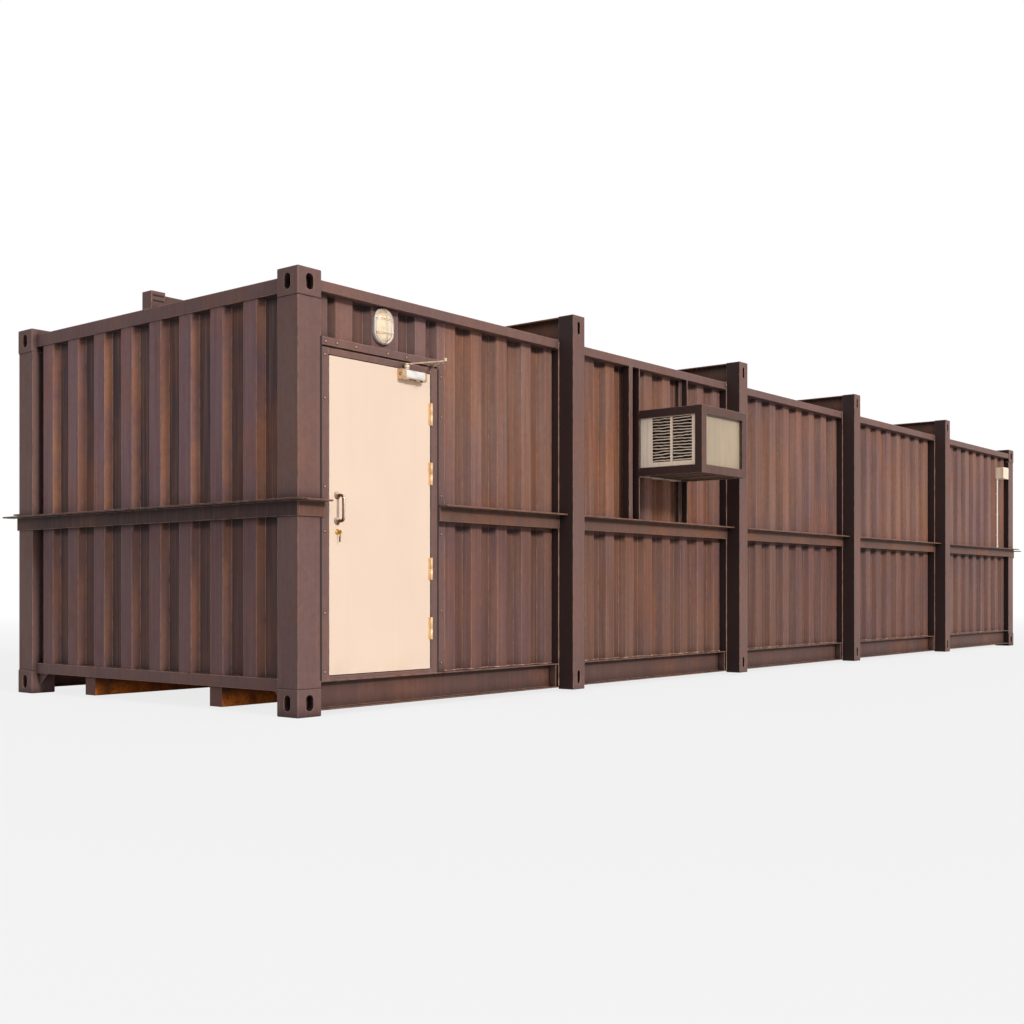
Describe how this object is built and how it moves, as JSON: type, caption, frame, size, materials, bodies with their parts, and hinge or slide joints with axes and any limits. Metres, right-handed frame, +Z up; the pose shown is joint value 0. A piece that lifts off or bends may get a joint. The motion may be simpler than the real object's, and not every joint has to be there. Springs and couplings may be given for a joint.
{
  "type": "shipping container cabin",
  "caption": "Long corrugated steel container cabin with ring frames, an outward-opening side door with a closer, a lamp and a caged wall cooler.",
  "frame": {"origin": "on the ground under the middle of the whole object's outline", "axes": "+X along the cabin from its door end to its far end, the long side with the door faces -Y, +Z up"},
  "size_m": [12.342, 3.745, 2.704],
  "materials": {
    "steel_paint": "weathered satin",
    "lining_board": "painted board",
    "floor_board": "worn plywood",
    "door_paint": "satin",
    "brass": "tarnished",
    "stainless": "brushed",
    "closer_metal": "satin",
    "lamp_body": "gloss",
    "lamp_glass": "frosted",
    "cooler_paint": "satin",
    "box_plastic": "weathered matte"
  },
  "bodies": {
    "cabin": {"bottom_corner_castings": "steel_paint", "top_corner_castings": "steel_paint", "corner_posts": "steel_paint", "top_end_rails": "steel_paint", "bottom_end_rails": "steel_paint", "side_top_rails": "steel_paint", "side_bottom_rails": "steel_paint", "frame_studs": "steel_paint", "frame_posts": "steel_paint", "roof_cross_beams": "steel_paint", "roof_beam_end_blocks": "steel_paint", "roof_centre_beam": "steel_paint", "front_wall_over_door": "steel_paint", "front_wall_bays": "steel_paint", "rear_wall_bays": "steel_paint", "door_end_wall": "steel_paint", "far_end_wall": "steel_paint", "roof_sheet": "steel_paint", "front_mid_rails": "steel_paint", "rear_mid_rails": "steel_paint", "end_mid_rails": "steel_paint", "skid_beams": "steel_paint", "floor_cross_members": "steel_paint", "corner_gussets": "steel_paint", "door_jambs": "steel_paint", "door_head": "steel_paint", "door_sill": "steel_paint", "door_header_plate": "steel_paint", "door_post": "steel_paint", "cooler_cage": "steel_paint", "cooler_hangers": "steel_paint", "junction_box": "box_plastic", "conduit": "box_plastic", "front_lining": "lining_board", "front_lining_over_door": "lining_board", "rear_lining": "lining_board", "end_linings": "lining_board", "ceiling_panel": "lining_board", "floor_deck": "floor_board", "hinge_frame_halves": "brass", "closer_shoe": "closer_metal", "light_base": "lamp_body", "light_glass": "lamp_glass", "cooler_unit": "cooler_paint"},
    "door": {"door_leaf": "door_paint", "hinge_leaf_halves": "brass", "pull_handle": "stainless", "door_lock": "brass", "door_key": "brass", "closer_body": "closer_metal"},
    "closer_arm": {"closer_arm": "closer_metal"},
    "closer_forearm": {"closer_forearm": "closer_metal"}
  },
  "joints": [
    {"name": "door_hinge", "type": "hinge", "parent": "cabin", "child": "door", "pos_m": [-5.0085, -1.3045, 1.17], "axis": [0, 0, 1], "range_deg": [0, 90]},
    {"name": "closer_arm_pivot", "type": "hinge", "parent": "door", "child": "closer_arm", "pos_m": [-5.244, -1.3205, 2.14], "axis": [0, 0, 1], "range_deg": [-4.5, 0]},
    {"name": "closer_forearm_pivot", "type": "hinge", "parent": "cabin", "child": "closer_forearm", "pos_m": [-5.016, -1.3225, 2.153], "axis": [0, 0, 1], "range_deg": [0, 96.75]}
  ],
  "couplings": [
    {"joint": "closer_arm_pivot", "follows": "door_hinge", "ratio": -0.05},
    {"joint": "closer_forearm_pivot", "follows": "door_hinge", "ratio": 1.075}
  ]
}
